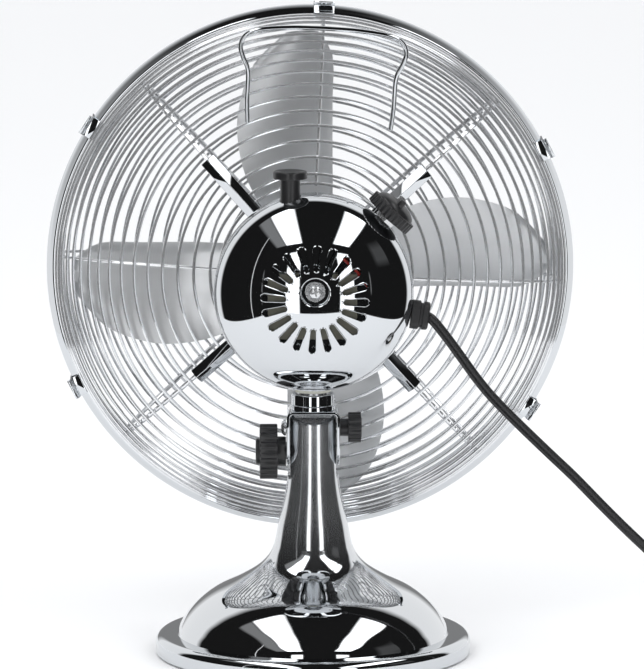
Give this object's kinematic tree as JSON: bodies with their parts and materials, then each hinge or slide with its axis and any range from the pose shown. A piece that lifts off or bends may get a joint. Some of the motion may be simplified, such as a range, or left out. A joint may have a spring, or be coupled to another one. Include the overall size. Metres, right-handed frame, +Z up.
{
  "type": "desk fan",
  "caption": "Chrome desk fan with a bell base, a tilting and oscillating head, wire guards, metal blades and a carrying handle.",
  "frame": {"origin": "middle of the foot pad's underside", "axes": "+Z up, +Y the way the air blows, +X to the right seen from behind"},
  "size_m": [0.5338, 0.2252, 0.4002],
  "materials": {
    "chrome": "mirror",
    "guard_wire": "polished",
    "black_plastic": "gloss",
    "blade_aluminium": "brushed",
    "casting": "cast",
    "steel": "zinc plated",
    "lamination": "laminated",
    "winding": "enamelled copper",
    "brass": "machined",
    "cast_iron": "as cast",
    "foot_rubber": "matt",
    "bush_rubber": "satin",
    "cord_pvc": "satin",
    "leads": "insulated"
  },
  "bodies": {
    "base": {"foot_pad": "foot_rubber", "base_plate": "steel", "base_weight": "cast_iron", "base_disc": "chrome", "pedestal": "chrome", "base_screws": "steel", "column_head": "casting", "pivot_bolt": "steel"},
    "yoke": {"tilt_bracket": "chrome", "swivel_post": "chrome", "collar_screw": "steel", "swivel_washer": "steel", "cord_lead": "cord_pvc", "cord_coil": "cord_pvc", "cord_tie": "cord_pvc", "plug_body": "cord_pvc", "plug_pins": "brass"},
    "tilt_lock": {"tilt_knob": "black_plastic", "tilt_stud": "steel"},
    "pivot_nut": {"pivot_knob": "black_plastic"},
    "speed_dial": {"speed_knob": "black_plastic"},
    "clutch": {"oscillation_knob": "black_plastic", "clutch_rod": "steel"},
    "wheel": {"worm_wheel": "brass"},
    "spindle": {"clutch_spindle": "steel"},
    "crank": {"crank_gear": "brass"},
    "rotor": {"motor_shaft": "steel", "rotor_core": "lamination", "worm": "steel", "blade_hub": "blade_aluminium", "blade_irons": "blade_aluminium", "fan_blades": "blade_aluminium", "blade_rivets": "blade_aluminium", "hub_cap": "chrome"},
    "head": {"rear_cover": "chrome", "cover_screw": "steel", "cover_washer": "steel", "front_cover": "chrome", "motor_frame": "casting", "front_bearing_bracket": "casting", "shaft_bushes": "brass", "stator_core": "lamination", "stator_coils": "winding", "motor_bolts": "steel", "gearbox": "casting", "motor_leads": "leads", "speed_switch": "black_plastic", "switch_nut": "steel", "link_arm": "steel", "guard_spider": "chrome", "spider_screws": "steel", "rear_guard_rings": "guard_wire", "rear_guard_spokes": "guard_wire", "carry_handle": "chrome", "trim_ring": "chrome", "guard_clips": "chrome", "front_guard_rings": "guard_wire", "front_guard_spokes": "guard_wire", "front_medallion": "chrome", "cord_bush": "bush_rubber"}
  },
  "joints": [
    {"name": "tilt", "type": "hinge", "parent": "base", "child": "yoke", "pos_m": [0, 0, 0.142], "axis": [1, 0, 0], "range_deg": [-10, 20]},
    {"name": "oscillation", "type": "hinge", "parent": "yoke", "child": "head", "pos_m": [0, 0, 0.17], "axis": [0, 0, 1], "range_deg": [-40, 40]},
    {"name": "rotor_spin", "type": "hinge", "parent": "head", "child": "rotor", "pos_m": [0, 0.05, 0.2305], "axis": [0, 1, 0], "continuous": true},
    {"name": "tilt_lock_turn", "type": "hinge", "parent": "base", "child": "tilt_lock", "pos_m": [-0.027, 0, 0.127], "axis": [1, 0, 0], "range_deg": [0, 540]},
    {"name": "pivot_nut_turn", "type": "hinge", "parent": "base", "child": "pivot_nut", "pos_m": [0.026, 0, 0.142], "axis": [1, 0, 0], "range_deg": [0, 540]},
    {"name": "speed_turn", "type": "hinge", "parent": "head", "child": "speed_dial", "pos_m": [0.04515, -0.025, 0.27726], "axis": [0.6947, 0, 0.7193], "range_deg": [0, 120]},
    {"name": "oscillation_pull", "type": "slide", "parent": "head", "child": "clutch", "axis": [0, 0, 1], "range_m": [-0.005, 0]},
    {"name": "worm_wheel_turn", "type": "hinge", "parent": "head", "child": "wheel", "pos_m": [-0.0145, -0.03, 0.2305], "axis": [0, 0, 1], "continuous": true},
    {"name": "crank_turn", "type": "hinge", "parent": "head", "child": "crank", "pos_m": [0.0055, -0.03, 0.21], "axis": [0, 0, 1], "continuous": true},
    {"name": "spindle_turn", "type": "hinge", "parent": "head", "child": "spindle", "pos_m": [-0.0145, -0.03, 0.21], "axis": [0, 0, 1], "continuous": true}
  ],
  "couplings": [
    {"joint": "worm_wheel_turn", "follows": "rotor_spin", "ratio": 0.02778},
    {"joint": "spindle_turn", "follows": "crank_turn", "ratio": -4}
  ]
}
